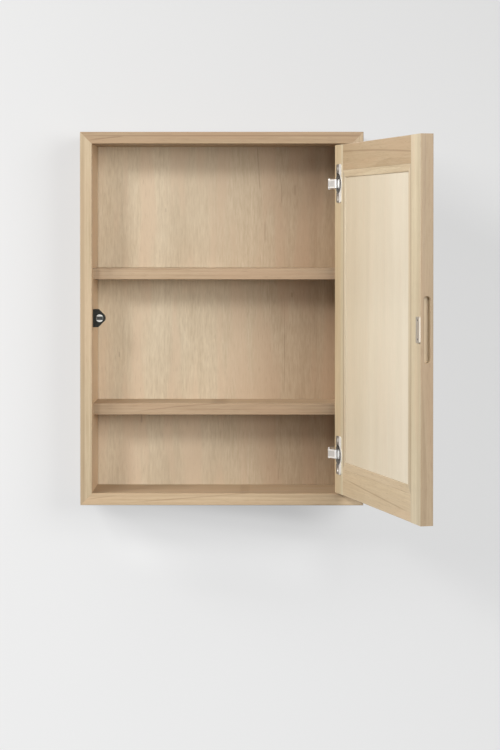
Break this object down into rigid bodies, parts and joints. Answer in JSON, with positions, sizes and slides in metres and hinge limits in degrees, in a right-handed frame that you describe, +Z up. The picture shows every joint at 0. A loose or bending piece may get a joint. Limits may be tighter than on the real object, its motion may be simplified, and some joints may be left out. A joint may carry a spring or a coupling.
{
  "type": "mirrored wall cabinet",
  "caption": "Wooden wall cabinet with fixed shelves and an inset mirror door on concealed cup hinges, with a magnetic catch and a routed finger pull.",
  "frame": {"origin": "middle of the top board's rear edge, on the wall", "axes": "+Z up, +Y into the wall, +X to the right as seen from the room; the rest pose has the door open against its stop"},
  "size_m": [0.5337, 0.5363, 0.6],
  "materials": {
    "pale_wood": "oiled pale hardwood, satin",
    "back_plywood": "plywood with fine upright grain, satin",
    "pale_plywood": "pale cream plywood, satin",
    "spline_plywood": "plain plywood",
    "mirror": "silvered glass",
    "black_plastic": "matt moulded",
    "magnet_ferrite": "dark ferrite",
    "bright_steel": "bright zinc plated",
    "nickel_steel": "nickel plated",
    "zinc_steel": "zinc plated",
    "screw_steel": "bright plated"
  },
  "bodies": {
    "cabinet": {"top_board": "pale_wood", "bottom_board": "pale_wood", "left_side": "pale_wood", "right_side": "pale_wood", "upper_shelf": "pale_wood", "lower_shelf": "pale_wood", "mitre_splines": "spline_plywood", "back_panel": "back_plywood", "catch_housing": "black_plastic", "catch_magnet": "magnet_ferrite", "catch_magnet_cup": "bright_steel", "catch_screws": "screw_steel", "mounting_plate_screws": "screw_steel", "side_adjusting_screws": "screw_steel", "arm_fixing_screws": "screw_steel", "hanging_plate_screws": "screw_steel", "hanging_plates": "zinc_steel", "lower_mounting_plate": "nickel_steel", "lower_hinge_arm": "nickel_steel", "lower_arm_pin": "screw_steel", "upper_mounting_plate": "nickel_steel", "upper_hinge_arm": "nickel_steel", "upper_arm_pin": "screw_steel"},
    "hinge_links": {"lower_hinge_link": "nickel_steel", "upper_hinge_link": "nickel_steel"},
    "door": {"hinge_stile": "pale_wood", "free_stile": "pale_wood", "top_rail": "pale_wood", "bottom_rail": "pale_wood", "mirror_glass": "mirror", "backing_panel": "pale_plywood", "top_bead": "pale_wood", "bottom_bead": "pale_wood", "hinge_side_bead": "pale_wood", "free_side_bead": "pale_wood", "strike_plate": "bright_steel", "strike_plate_screws": "screw_steel", "cup_screws": "screw_steel", "lower_hinge_cup": "nickel_steel", "lower_cup_pin": "screw_steel", "upper_hinge_cup": "nickel_steel", "upper_cup_pin": "screw_steel"}
  },
  "joints": [
    {"name": "link_pivot", "type": "hinge", "parent": "cabinet", "child": "hinge_links", "pos_m": [0.1731, -0.1226, -0.2905], "axis": [0, 0, 1], "range_deg": [0, 55]},
    {"name": "door_swing", "type": "hinge", "parent": "hinge_links", "child": "door", "pos_m": [0.18798, -0.14368, -0.2905], "axis": [0, 0, 1], "range_deg": [-160, 0]}
  ],
  "couplings": [
    {"joint": "link_pivot", "follows": "door_swing", "ratio": -0.34375}
  ]
}
